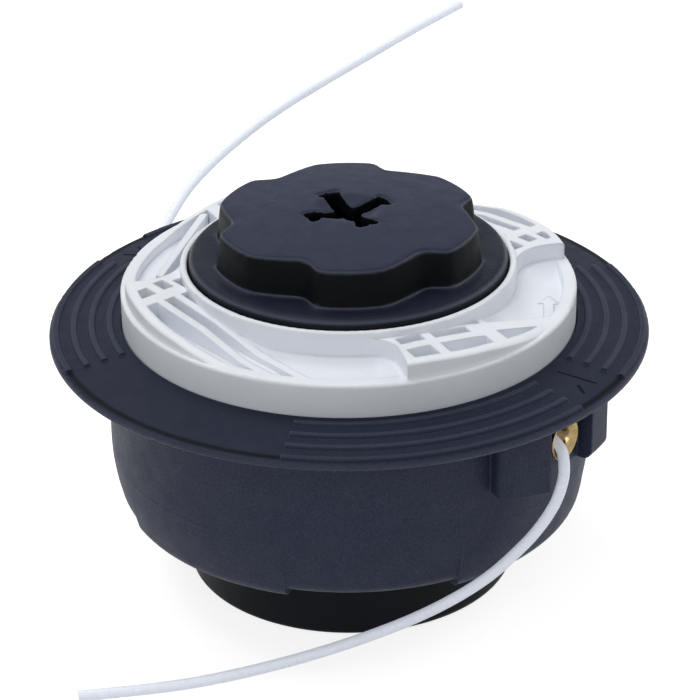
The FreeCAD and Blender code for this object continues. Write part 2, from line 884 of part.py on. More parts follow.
def wound_line():
    """The line wound on the reel, as the outer shape of its turns."""
    low = z_reel_low + reel_flange + wind_gap
    high = z_reel_top - reel_flange - wind_gap
    inner = drum_radius + wind_gap
    outer = inner + wind_depth
    crown = (low + high) / 2.0
    return revolve([
        (inner, low),
        (outer - line_radius, low),
        ((outer, crown), (outer - line_radius, high)),
        (inner, high),
    ])


def thrust_washer():
    """Washer between the spring and the reel's web."""
    outer = hub_inside - spring_gap
    inner = outer - 2.0 * spring_wire
    return tube(outer, inner, z_reel_web - washer_thickness, z_reel_web)


def spring():
    """Compression spring from the collar's web up to the washer, its wire given flat sides."""
    wire = spring_wire / 2.0
    radius = hub_inside - spring_gap - wire
    low = z_body + wire
    high = z_reel_web - washer_thickness - wire
    helix = Part.makeHelix((high - low) / spring_coils, high - low, radius)
    helix.translate(Vector(0, 0, low))
    corners = []
    for number in range(spring_sides + 1):
        turn = math.radians((number + 0.5) * 360.0 / spring_sides)
        corners.append(Vector(radius + wire * math.cos(turn), 0, low + wire * math.sin(turn)))
    section = Part.makePolygon(corners)
    return Part.Wire(helix).makePipeShell([section], True, True)


def cord(route):
    """Round cord along straight runs joined by tangent arcs; prints the arc radii."""
    points = [Vector(*point) for point in route]
    edges = []
    radii = []
    here = points[0]
    for before, corner, after in zip(points, points[1:], points[2:]):
        back = (before - corner).normalize()
        onward = (after - corner).normalize()
        half = (math.pi - back.getAngle(onward)) / 2.0
        run = min((before - corner).Length, (after - corner).Length)
        reach = cord_arc_share * run
        radius = reach / math.tan(half)
        radii.append(round(radius, 1))
        enter = corner + back * reach
        leave = corner + onward * reach
        inward = (back + onward).normalize()
        middle = corner + inward * (radius / math.cos(half) - radius)
        edges.append(Part.LineSegment(here, enter).toShape())
        edges.append(Part.Arc(enter, middle, leave).toShape())
        here = leave
    edges.append(Part.LineSegment(here, points[-1]).toShape())
    path = Part.Wire(edges)
    start = points[1] - points[0]
    section = Part.Wire([Part.makeCircle(line_radius, points[0], start)])
    shape = path.makePipeShell([section], True, False)
    expected = math.pi * line_radius ** 2 * path.Length
    ratio = round(shape.Volume / expected, 4)
    print("cord length", round(path.Length, 1), "volume ratio", ratio, "radii", radii)
    return shape


def save(name, shape):
    """Write one sub-part as its own file."""
    print(name, shape.ShapeType, len(shape.Solids), "solids", shape.isValid(), round(shape.Volume, 1))
    shape.exportStep("parts/" + name + ".step")


os.makedirs("parts", exist_ok=True)
save("housing", housing())
save("drive_collar", drive_collar())
save("thread_insert", thread_insert())
save("retaining_ring", retaining_ring())
save("eyelet_front", eyelet())
save("eyelet_rear", turned(eyelet(), 180.0))
save("cap", cap())
save("bump_knob", bump_knob())
save("spool", spool())
save("wound_line", wound_line())
save("thrust_washer", thrust_washer())
save("spring", spring())
save("front_line", cord(front_route))
save("rear_line", cord(rear_route))
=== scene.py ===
"""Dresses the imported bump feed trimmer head: finishes, line ends, light and camera."""

import logging
import math
from dataclasses import dataclass
from enum import Enum
from typing import Sequence

import bpy
from mathutils import Matrix, Vector


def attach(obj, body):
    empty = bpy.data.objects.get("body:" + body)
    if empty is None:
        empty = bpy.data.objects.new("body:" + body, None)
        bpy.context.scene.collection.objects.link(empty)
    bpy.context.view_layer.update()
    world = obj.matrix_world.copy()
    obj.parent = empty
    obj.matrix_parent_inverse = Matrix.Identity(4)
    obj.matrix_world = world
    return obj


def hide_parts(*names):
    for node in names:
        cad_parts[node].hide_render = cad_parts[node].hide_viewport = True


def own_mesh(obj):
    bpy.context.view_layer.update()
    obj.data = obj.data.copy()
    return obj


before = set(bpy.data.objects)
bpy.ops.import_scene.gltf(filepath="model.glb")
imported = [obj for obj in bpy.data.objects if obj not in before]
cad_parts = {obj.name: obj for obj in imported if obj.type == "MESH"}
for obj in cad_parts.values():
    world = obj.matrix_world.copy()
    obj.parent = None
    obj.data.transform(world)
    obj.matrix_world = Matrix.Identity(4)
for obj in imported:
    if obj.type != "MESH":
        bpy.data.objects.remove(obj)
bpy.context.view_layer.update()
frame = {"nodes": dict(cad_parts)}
log = logging.getLogger("trimmer_head")

Point = tuple[float, float, float]
Colour = tuple[float, float, float]
MM = 0.001
FLANGE_RADIUS = 65.0
MOUTH_RADIUS = 49.5
FLANGE_EDGE = 58.3
FLANGE_MOUTH = 60.3
FLANGE_SLOPE = (FLANGE_MOUTH - FLANGE_EDGE) / (FLANGE_RADIUS - MOUTH_RADIUS)
LINE_DIAMETER = 2.4
VIEW_AZIMUTH = 40.0
MERGE_GAP = 0.001
NOISE_DARK = 0.3
NOISE_LIGHT = 0.7
EDGE_START = 0.99
EDGE_FULL = 0.75
EDGE_SAMPLES = 8
LOW_DETAIL = 2.0
MID_DETAIL = 3.0
HIGH_DETAIL = 4.0
WAVE_PHASE = 20.0
NEAR_ZERO = 1e-6
SRGB_KNEE = 0.04045
SRGB_SLOPE = 12.92
SRGB_LIFT = 0.055
SRGB_POWER = 2.4
WHITE = (1.0, 1.0, 1.0, 1.0)


class Body(Enum):
    """The moving bodies of the head."""

    HEAD = "head"
    CAP = "cap"
    FEED = "feed_slide"
    REEL = "reel"


class Lay(Enum):
    """How fine the moulded skin of a plastic piece is."""

    GRAINED = "grained"
    SATIN = "satin"
    SMOOTH = "smooth"


GRAIN = {
    Lay.GRAINED: (0.0005, 0.0001),
    Lay.SATIN: (0.0011, 0.00002),
    Lay.SMOOTH: (0.0018, 0.00002),
}


class Measure(Enum):
    """What a zone of a moulding is measured by."""

    HEIGHT = "height"
    RADIUS = "radius"
    TILT = "tilt"
    RISE = "rise"


def linear(red: float, green: float, blue: float) -> tuple[float, float, float, float]:
    """Turns a colour as seen on a screen into the shader's own scale.

    Args:
        red: Red share from 0 to 255.
        green: Green share from 0 to 255.
        blue: Blue share from 0 to 255.

    Returns:
        The colour as four linear numbers, the last one full opacity.
    """
    shares = []
    for value in (red, green, blue):
        share = value / 255.0
        if share <= SRGB_KNEE:
            shares.append(share / SRGB_SLOPE)
        else:
            shares.append(((share + SRGB_LIFT) / (1.0 + SRGB_LIFT)) ** SRGB_POWER)
    return (shares[0], shares[1], shares[2], 1.0)


class Shader:
    """A new material's node tree, with short calls that add and join nodes."""

    def __init__(self, name: str) -> None:
        """Starts a material with its standard surface and its object coordinates."""
        self.material = bpy.data.materials.new(name)
        self.material.use_nodes = True
        self.tree = self.material.node_tree
        self.surface = self.tree.nodes["Principled BSDF"]
        source = self.add("ShaderNodeTexCoord")
        self.place = source.outputs["Object"]
        self.facing = source.outputs["Normal"]

    def add(self, kind: str, **settings: object) -> bpy.types.Node:
        """Adds a node.

        Args:
            kind: The node's type name.
            settings: Properties of the node itself.

        Returns:
            The new node.
        """
        node = self.tree.nodes.new(kind)
        for key, value in settings.items():
            setattr(node, key, value)
        return node

    def join(self, start: bpy.types.NodeSocket, end: bpy.types.NodeSocket) -> None:
        """Links two sockets."""
        self.tree.links.new(start, end)

    def noise(self, size: float, detail: float, stretch: Point = (1.0, 1.0, 1.0)) -> bpy.types.NodeSocket:
        """Adds soft noise on the object's own coordinates.

        Args:
            size: Width of one patch, in metres.
            detail: Number of finer layers.
            stretch: Scale of the pattern along each axis.

        Returns:
            The noise's value socket.
        """
        mapping = self.add("ShaderNodeMapping")
        mapping.inputs["Scale"].default_value = stretch
        self.join(self.place, mapping.inputs["Vector"])
        noise = self.add("ShaderNodeTexNoise")
        noise.inputs["Scale"].default_value = 1.0 / size
        noise.inputs["Detail"].default_value = detail
        self.join(mapping.outputs["Vector"], noise.inputs["Vector"])
        return noise.outputs["Fac"]

    def spread(self, value: bpy.types.NodeSocket, low: float, high: float) -> bpy.types.NodeSocket:
        """Maps the middle of a noise onto a range.

        Args:
            value: The noise's socket.
            low: Result where the noise is dark.
            high: Result where the noise is light.

        Returns:
            The mapped value's socket.
        """
        mapped = self.add("ShaderNodeMapRange")
        mapped.inputs["From Min"].default_value = NOISE_DARK
        mapped.inputs["From Max"].default_value = NOISE_LIGHT
        mapped.inputs["To Min"].default_value = low
        mapped.inputs["To Max"].default_value = high
        self.join(value, mapped.inputs["Value"])
        return mapped.outputs["Result"]

    def blend(self, share: bpy.types.NodeSocket, first: object, second: object) -> bpy.types.NodeSocket:
        """Mixes two colours.

        Args:
            share: Socket with the share of the second colour.
            first: A colour, or the socket of one.
            second: A colour, or the socket of one.

        Returns:
            The mixed colour's socket.
        """
        mix = self.add("ShaderNodeMix", data_type="RGBA")
        colours = [socket for socket in mix.inputs if socket.type == "RGBA"]
        for socket, colour in zip(colours, (first, second)):
            if isinstance(colour, bpy.types.NodeSocket):
                self.join(colour, socket)
            else:
                socket.default_value = colour
        self.join(share, mix.inputs[0])
        return [socket for socket in mix.outputs if socket.type == "RGBA"][0]

    def within(self, zone: "Zone") -> bpy.types.NodeSocket:
        """Adds a value that is one inside a zone and fades out over its soft border.

        Args:
            zone: The zone.

        Returns:
            The value's socket.
        """
        unit = 1.0 if zone.measure is Measure.TILT else MM
        parts = self.add("ShaderNodeSeparateXYZ")
        self.join(self.facing if zone.measure is Measure.TILT else self.place, parts.inputs["Vector"])
        measured = parts.outputs["Z"]
        if zone.measure in (Measure.RADIUS, Measure.RISE):
            flat = self.add("ShaderNodeCombineXYZ")
            self.join(parts.outputs["X"], flat.inputs["X"])
            self.join(parts.outputs["Y"], flat.inputs["Y"])
            length = self.add("ShaderNodeVectorMath", operation="LENGTH")
            self.join(flat.outputs["Vector"], length.inputs[0])
            measured = length.outputs["Value"]
        if zone.measure is Measure.RISE:
            level = self.add("ShaderNodeMath", operation="MULTIPLY_ADD")
            level.inputs[1].default_value = FLANGE_SLOPE
            self.join(measured, level.inputs[0])
            self.join(parts.outputs["Z"], level.inputs[2])
            measured = level.outputs["Value"]
        inside = self.add("ShaderNodeMath", operation="MULTIPLY")
        borders = ((zone.low, zone.low + zone.soft), (zone.high, zone.high - zone.soft))
        for number, (start, full) in enumerate(borders):
            ramp = self.add("ShaderNodeMapRange")
            ramp.inputs["From Min"].default_value = start * unit
            ramp.inputs["From Max"].default_value = full * unit
            self.join(measured, ramp.inputs["Value"])
            self.join(ramp.outputs["Result"], inside.inputs[number])
        return inside.outputs["Value"]

    def bump(
        self,
        height: bpy.types.NodeSocket,
        depth: float,
        base: bpy.types.NodeSocket | None,
    ) -> bpy.types.NodeSocket:
        """Turns a height into a bent normal.

        Args:
            height: The height's socket.
            depth: Height of the relief in metres.
            base: Normal that the relief lies on, if any.

        Returns:
            The normal's socket.
        """
        relief = self.add("ShaderNodeBump")
        relief.inputs["Strength"].default_value = 1.0
        relief.inputs["Distance"].default_value = depth
        self.join(height, relief.inputs["Height"])
        if base is not None:
            self.join(base, relief.inputs["Normal"])
        return relief.outputs["Normal"]

    def soft_edges(self, radius: float) -> tuple[bpy.types.NodeSocket, bpy.types.NodeSocket]:
        """Rounds the look of sharp edges.

        Args:
            radius: Radius of the rounded edge in metres.

        Returns:
            The rounded normal, and a value that is high along edges.
        """
        rounded = self.add("ShaderNodeBevel", samples=EDGE_SAMPLES)
        rounded.inputs["Radius"].default_value = radius
        flat = self.add("ShaderNodeNewGeometry")
        product = self.add("ShaderNodeVectorMath", operation="DOT_PRODUCT")
        self.join(rounded.outputs["Normal"], product.inputs[0])
        self.join(flat.outputs["Normal"], product.inputs[1])
        edge = self.add("ShaderNodeMapRange")
        edge.inputs["From Min"].default_value = EDGE_START
        edge.inputs["From Max"].default_value = EDGE_FULL
        self.join(product.outputs["Value"], edge.inputs["Value"])
        return rounded.outputs["Normal"], edge.outputs["Result"]


@dataclass(frozen=True)
class Zone:
    """A band of a moulding with another tone and shine, in millimetres or as the upward share of the
    normal; some zones are painted highlights and shade.
    """

    measure: Measure
    low: float
    high: float
    soft: float
    tone: Colour
    shine: float
    share: float = 1.0


@dataclass(frozen=True)
class MouldedPlastic:
    """A moulded plastic skin with grain, faint mottling, a painted highlight along its edges and zones of
    other tones, some of them painted light and shade.
    """

    name: str
    tone: Colour
    shade: Colour
    edge_highlight: Colour
    lay: Lay
    roughness: float
    edge: float
    shine: float
    zones: tuple[Zone, ...] = ()
    fine_patch: float = 0.0004
    broad_patch: float = 0.011
    gloss_patch: float = 0.004
    gloss_swing: float = 0.05
    least_edge_highlight: float = 0.2
    most_edge_highlight: float = 0.8

    def grain(self) -> tuple[float, float]:
        """Gives the skin's grain size and depth in metres."""
        return GRAIN[self.lay]

    def patch(self) -> float:
        """Gives the width of the skin's lighter and darker patches in metres."""
        return self.fine_patch if self.lay is Lay.GRAINED else self.broad_patch

    def colour(self, sheet: Shader) -> bpy.types.NodeSocket:
        """Mixes the mottled base tone and the zones, some of them painted highlights and shade, and sets
        how much the skin shines.

        Args:
            sheet: The material's node tree.

        Returns:
            The colour's socket.
        """
        mottle = sheet.spread(sheet.noise(self.patch(), HIGH_DETAIL), 0.0, 1.0)
        skin = sheet.blend(mottle, linear(*self.tone), linear(*self.shade))
        shine = sheet.surface.inputs["Specular IOR Level"]
        shine.default_value = self.shine
        level: bpy.types.NodeSocket | None = None
        for zone in self.zones:
            weight = sheet.add("ShaderNodeMath", operation="MULTIPLY")
            weight.inputs[1].default_value = zone.share
            sheet.join(sheet.within(zone), weight.inputs[0])
            skin = sheet.blend(weight.outputs["Value"], skin, linear(*zone.tone))
            step = sheet.add("ShaderNodeMapRange")
            step.inputs["To Min"].default_value = self.shine
            step.inputs["To Max"].default_value = zone.shine
            sheet.join(weight.outputs["Value"], step.inputs["Value"])
            if level is not None:
                sheet.join(level, step.inputs["To Min"])
            level = step.outputs["Result"]
        if level is not None:
            sheet.join(level, shine)
        return skin

    def make(self) -> bpy.types.Material:
        """Builds the material.

        Returns:
            The finished material.
        """
        sheet = Shader(self.name)
        size, depth = self.grain()
        rounded, rim = sheet.soft_edges(self.edge)
        fine = sheet.noise(size, MID_DETAIL)
        # Lightens the skin along sharp edges, in patches: a painted highlight along the edges.
        highlight_share = sheet.add("ShaderNodeMath", operation="MULTIPLY")
        sheet.join(rim, highlight_share.inputs[0])
        sheet.join(sheet.spread(fine, self.least_edge_highlight, self.most_edge_highlight), highlight_share.inputs[1])
        highlit_skin = sheet.blend(highlight_share.outputs["Value"], self.colour(sheet), linear(*self.edge_highlight))
        sheet.join(highlit_skin, sheet.surface.inputs["Base Color"])
        shimmer = sheet.noise(self.gloss_patch, MID_DETAIL)
        gloss = sheet.spread(shimmer, self.roughness - self.gloss_swing, self.roughness + self.gloss_swing)
        sheet.join(gloss, sheet.surface.inputs["Roughness"])
        sheet.join(sheet.bump(fine, depth, rounded), sheet.surface.inputs["Normal"])
        return sheet.material


@dataclass(frozen=True)
class WorkedMetal:
    """A turned or drawn metal with fine tool marks."""

    name: str
    tone: Colour
    dull: Colour
    roughness: float
    marks: Point
    patch: float = 0.0016
    stained: float = 0.7
    mark_size: float = 0.0004
    mark_depth: float = 0.000012
    gloss_swing: float = 0.08
    edge: float = 0.00015

    def make(self) -> bpy.types.Material:
        """Builds the material.

        Returns:
            The finished material.
        """
        sheet = Shader(self.name)
        sheet.surface.inputs["Metallic"].default_value = 1.0
        rounded, _ = sheet.soft_edges(self.edge)
        stain = sheet.spread(sheet.noise(self.patch, HIGH_DETAIL), 0.0, self.stained)
        skin = sheet.blend(stain, linear(*self.tone), linear(*self.dull))
        sheet.join(skin, sheet.surface.inputs["Base Color"])
        tool = sheet.noise(self.mark_size, LOW_DETAIL, self.marks)
        gloss = sheet.spread(tool, self.roughness - self.gloss_swing, self.roughness + self.gloss_swing)
        sheet.join(gloss, sheet.surface.inputs["Roughness"])
        sheet.join(sheet.bump(tool, self.mark_depth, rounded), sheet.surface.inputs["Normal"])
        return sheet.material


@dataclass(frozen=True)
class NylonLine:
    """Milky extruded nylon, a little clear at its skin, with a faint painted glow."""

    name: str
    tone: Colour
    shade: Colour
    turns: bool
    painted_glow: float
    clearness: float = 0.12
    refraction: float = 1.3
    milkiness: float = 0.25
    bleed: Point = (0.0012, 0.0012, 0.0013)
    bleed_scale: float = 0.6
    cloud: float = 0.006
    gloss_patch: float = 0.003
    smooth: float = 0.22
    rough: float = 0.32
    turn_depth: float = 0.0009
    turn_wander: float = 0.4
    ripple: float = 0.0009
    ripple_depth: float = 0.00002

    def make(self) -> bpy.types.Material:
        """Builds the material.

        Returns:
            The finished material.
        """
        sheet = Shader(self.name)
        sheet.surface.inputs["Transmission Weight"].default_value = self.clearness
        sheet.surface.inputs["IOR"].default_value = self.refraction
        # A faint emission in the line's own tone: a painted glow that brightens the line.
        sheet.surface.inputs["Emission Color"].default_value = linear(*self.tone)
        sheet.surface.inputs["Emission Strength"].default_value = self.painted_glow
        sheet.surface.inputs["Subsurface Weight"].default_value = self.milkiness
        sheet.surface.inputs["Subsurface Radius"].default_value = self.bleed
        sheet.surface.inputs["Subsurface Scale"].default_value = self.bleed_scale
        cloud = sheet.spread(sheet.noise(self.cloud, MID_DETAIL), 0.0, 1.0)
        skin = sheet.blend(cloud, linear(*self.tone), linear(*self.shade))
        sheet.join(skin, sheet.surface.inputs["Base Color"])
        gloss = sheet.spread(sheet.noise(self.gloss_patch, LOW_DETAIL), self.smooth, self.rough)
        sheet.join(gloss, sheet.surface.inputs["Roughness"])
        if self.turns:
            bands = sheet.add("ShaderNodeTexWave", wave_type="BANDS", bands_direction="Z")
            bands.wave_profile = "SIN"
            bands.inputs["Scale"].default_value = math.tau / (WAVE_PHASE * LINE_DIAMETER * MM)
            bands.inputs["Distortion"].default_value = self.turn_wander
            sheet.join(sheet.place, bands.inputs["Vector"])
            relief = sheet.bump(bands.outputs["Fac"], self.turn_depth, None)
        else:
            relief = sheet.bump(sheet.noise(self.ripple, LOW_DETAIL), self.ripple_depth, None)
        sheet.join(relief, sheet.surface.inputs["Normal"])
        return sheet.material


FLANGE_FACE = Zone(
    measure=Measure.HEIGHT,
    low=57.6,
    high=90.0,
    soft=0.5,
    tone=(34, 38, 54),
    shine=0.07,
)
# Near-black band over the groove near the flange's edge: painted shade in the groove.
FLANGE_GROOVE_SHADE = Zone(
    measure=Measure.RADIUS,
    low=62.7,
    high=64.6,
    soft=0.7,
    tone=(8, 9, 12),
    shine=0.03,
    share=0.8,
)
# Lighter, shinier band on the flange's outer rim: a painted highlight.
FLANGE_RIM_HIGHLIGHT = Zone(
    measure=Measure.RADIUS,
    low=64.5,
    high=90.0,
    soft=0.25,
    tone=(66, 72, 90),
    shine=0.2,
    share=0.35,
)
# Lighter, shinier band on faces raised above the flange's slope, the ridge crests: a painted highlight.
FLANGE_RIDGE_HIGHLIGHT = Zone(
    measure=Measure.RISE,
    low=66.75,
    high=70.0,
    soft=0.35,
    tone=(43, 49, 66),
    shine=0.13,
    share=0.75,
)
# Lighter tone on the knob's up-facing surfaces, over its near-black walls: painted light on its top.
KNOB_TOP_LIGHT = Zone(
    measure=Measure.TILT,
    low=0.72,
    high=2.0,
    soft=0.2,
    tone=(32, 38, 59),
    shine=0.11,
)
# Lighter, shinier band on surfaces tilted between wall and top, on the rounded edges and foot: a painted
# highlight.
KNOB_EDGE_HIGHLIGHT = Zone(
    measure=Measure.TILT,
    low=0.3,
    high=0.9,
    soft=0.25,
    tone=(62, 69, 86),
    shine=0.3,
    share=0.7,
)
KNOB_SKIRT = Zone(
    measure=Measure.HEIGHT,
    low=60.0,
    high=75.2,
    soft=0.8,
    tone=(20, 24, 33),
    shine=0.08,
    share=0.9,
)
HOUSING_SKIN = MouldedPlastic(
    "housing_skin",
    tone=(51, 58, 80),
    shade=(28, 33, 48),
    edge_highlight=(94, 101, 123),
    lay=Lay.GRAINED,
    roughness=0.55,
    edge=0.0005,
    shine=0.2,
    zones=(FLANGE_FACE, FLANGE_GROOVE_SHADE, FLANGE_RIM_HIGHLIGHT, FLANGE_RIDGE_HIGHLIGHT),
)
COLLAR_SKIN = MouldedPlastic(
    "collar_skin",
    tone=(23, 25, 31),
    shade=(20, 22, 27),
    edge_highlight=(44, 47, 54),
    lay=Lay.SMOOTH,
    roughness=0.42,
    edge=0.0005,
    shine=0.07,
)
# Near-black knob whose lighter top and bright edges come from its zones: painted light and painted
# highlights.
KNOB_SKIN = MouldedPlastic(
    "knob_skin",
    tone=(9, 11, 16),
    shade=(6, 8, 11),
    edge_highlight=(84, 90, 106),
    lay=Lay.GRAINED,
    roughness=0.5,
    edge=0.0006,
    shine=0.06,
    zones=(KNOB_TOP_LIGHT, KNOB_SKIRT, KNOB_EDGE_HIGHLIGHT),
)
CAP_SKIN = MouldedPlastic(
    "cap_skin",
    tone=(236, 240, 246),
    shade=(231, 235, 242),
    edge_highlight=(246, 249, 253),
    lay=Lay.SATIN,
    roughness=0.42,
    edge=0.0008,
    shine=0.4,
)
REEL_SKIN = MouldedPlastic(
    "reel_skin",
    tone=(34, 36, 41),
    shade=(29, 31, 36),
    edge_highlight=(52, 54, 60),
    lay=Lay.SMOOTH,
    roughness=0.45,
    edge=0.0004,
    shine=0.2,
)
# Near-black finish of the sign strokes: painted shade of engraved grooves.
SIGN_GROOVE_SHADE = MouldedPlastic(
    "sign_groove_shade",
    tone=(7, 8, 10),
    shade=(6, 7, 9),
    edge_highlight=(9, 10, 12),
    lay=Lay.SMOOTH,
    roughness=0.6,
    edge=0.0001,
    shine=0.05,
)
EYELET_BRASS = WorkedMetal(
    "eyelet_brass_skin",
    tone=(200, 174, 126),
    dull=(70, 50, 33),
    roughness=0.16,
    marks=(1.0, 0.2, 0.2),
    patch=0.004,
)
PLAIN_STEEL = WorkedMetal(
    "plain_steel_skin",
    tone=(190, 190, 194),
    dull=(160, 160, 166),
    roughness=0.34,
    marks=(1.0, 1.0, 0.1),
)
DARK_STEEL = WorkedMetal(
    "dark_steel_skin",
    tone=(92, 92, 96),
    dull=(74, 74, 78),
    roughness=0.45,
    marks=(1.0, 1.0, 1.0),
)
FREE_NYLON = NylonLine("free_nylon", tone=(239, 243, 252), shade=(234, 239, 249), turns=False, painted_glow=0.17)
WOUND_NYLON = NylonLine("wound_nylon", tone=(224, 227, 237), shade=(212, 216, 228), turns=True, painted_glow=0.0)


def dress(node: str, material: bpy.types.Material) -> None:
    """Gives a solid of the frame its finish.

    Args:
        node: Name of the solid.
        material: The finish's material.
    """
    solid = frame["nodes"][node]
    for holder in solid.material_slots:
        holder.material = material
    log.info("dressed %s with %s", node, material.name)


def settle(piece: bpy.types.Object, spot: Vector, along: Vector, up: Vector) -> None:
    """Turns a piece that was shaped at the origin, moves it to its spot and fixes that in its mesh.

    Args:
        piece: The piece, with its length along X and its upper face up Z.
        spot: Where its origin goes.
        along: Where its length points.
        up: Where its upper face points.
    """
    length = along.normalized()
    side = up.cross(length).normalized()
    piece.matrix_world = Matrix((length, side, length.cross(side))).transposed().to_4x4()
    piece.location = spot
    bpy.ops.object.transform_apply(location=True, rotation=True, scale=True)


def pick(piece: bpy.types.Object) -> None:
    """Makes a piece the only selected one and the active one.

    Args:
        piece: The piece.
    """
    bpy.ops.object.select_all(action="DESELECT")
    piece.select_set(True)
    bpy.context.view_layer.objects.active = piece


def merged_copy(node: str, name: str) -> bpy.types.Object:
    """Copies a solid of the frame with its mesh and joins its doubled points.

    Args:
        node: Name of the solid.
        name: The copy's name.

    Returns:
        The copy, selected and active.
    """
    copy = bpy.data.objects.new(name, frame["nodes"][node].data.copy())
    bpy.context.collection.objects.link(copy)
    pick(copy)
    bpy.ops.object.mode_set(mode="EDIT")
    bpy.ops.mesh.select_all(action="SELECT")
    bpy.ops.mesh.remove_doubles(threshold=MERGE_GAP * MM)
    bpy.ops.object.mode_set(mode="OBJECT")
    return copy


def twin(piece: bpy.types.Object, name: str) -> bpy.types.Object:
    """Copies a piece with its mesh to the far side of the spin axis.

    Args:
        piece: The piece that is copied.
        name: The copy's name.

    Returns:
        The copy.
    """
    pick(piece)
    bpy.ops.object.duplicate(linked=False)
    copy = bpy.context.active_object
    copy.name = name
    copy.rotation_euler = (0.0, 0.0, math.pi)
    bpy.ops.object.transform_apply(location=True, rotation=True, scale=True)
    return copy


def fit(piece: bpy.types.Object, material: bpy.types.Material, body: Body) -> None:
    """Dresses a new piece and ties it to a body.

    Args:
        piece: The piece.
        material: Its finish.
        body: The body that it rides on.
    """
    piece.data.materials.clear()
    piece.data.materials.append(material)
    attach(piece, body.value)
    log.info("fitted %s to %s", piece.name, body.value)


@dataclass
class Housing:
    """The flanged bowl with the feed signs beside its eyelets."""

    stroke_depth: float = 0.3
    stroke_proud: float = 0.03
    stroke_round: float = 0.12
    stroke_corners: int = 16
    round_steps: int = 2
    shaft_start: tuple[float, float] = (52.1, 5.1)
    shaft_end: tuple[float, float] = (60.4, 7.6)
    shaft_width: float = 0.42
    barb_start: tuple[float, float] = (58.0, 4.05)
    barb_end: tuple[float, float] = (60.8, 2.45)
    barb_width: float = 0.62

    def face(self, x: float, y: float) -> Vector:
        """Gives a point of the flange's upper face.

        Args:
            x: Place along X in millimetres.
            y: Place along Y in millimetres.

        Returns:
            The point in millimetres.
        """
        return Vector((x, y, FLANGE_EDGE + FLANGE_SLOPE * (FLANGE_RADIUS - math.hypot(x, y))))

    def stroke(
        self,
        name: str,
        start: tuple[float, float],
        end: tuple[float, float],
        width: float,
    ) -> bpy.types.Object:
        """Shapes one stroke with rounded ends, sunk in the flange's face; its near-black finish is painted
        shade for an engraved groove.

        Args:
            name: The stroke's name.
            start: Its first end, in millimetres.
            end: Its other end, in millimetres.
            width: Its width in millimetres.

        Returns:
            The stroke's object.
        """
        first = self.face(*start)
        last = self.face(*end)
        run = last - first
        bpy.ops.object.select_all(action="DESELECT")
        bpy.ops.mesh.primitive_cylinder_add(
            vertices=self.stroke_corners,
            radius=width * MM / 2,
            depth=self.stroke_depth * MM,
        )
        bar = bpy.context.active_object
        bar.name = name
        for vertex in bar.data.vertices:
            vertex.select = vertex.co.x > NEAR_ZERO
        for part in (*bar.data.edges, *bar.data.polygons):
            part.select = False
        bpy.ops.object.mode_set(mode="EDIT")
        bpy.ops.mesh.select_mode(type="VERT")
        bpy.ops.transform.translate(value=((run.length - width) * MM, 0.0, 0.0))
        bpy.ops.mesh.select_all(action="SELECT")
        bpy.ops.transform.translate(value=(-(run.length - width) * MM / 2, 0.0, 0.0))
        bpy.ops.mesh.bevel(offset=width * MM * self.stroke_round, segments=self.round_steps, affect="EDGES")
        bpy.ops.object.mode_set(mode="OBJECT")
        up = run.cross(Vector((-run.y, run.x, 0.0))).normalized()
        if up.z < 0:
            up = -up
        spot = (first + last) / 2 + up * (self.stroke_proud - self.stroke_depth / 2)
        settle(bar, spot * MM, run, up)
        return bar

    def build(self) -> list[bpy.types.Object]:
        """Makes the feed sign on the front and its copy on the rear.

        Returns:
            The strokes.
        """
        shaft = self.stroke("sign_shaft_front", self.shaft_start, self.shaft_end, self.shaft_width)
        barb = self.stroke("sign_barb_front", self.barb_start, self.barb_end, self.barb_width)
        return [shaft, barb, twin(shaft, "sign_shaft_rear"), twin(barb, "sign_barb_rear")]

    def dress(self, signs: list[bpy.types.Object]) -> None:
        """Gives the bowl and the signs their finishes; the signs get near-black painted groove shade.

        Args:
            signs: The strokes of the signs.
        """
        dress("housing", HOUSING_SKIN.make())
        groove_shade = SIGN_GROOVE_SHADE.make()
        for stroke in signs:
            fit(stroke, groove_shade, Body.HEAD)


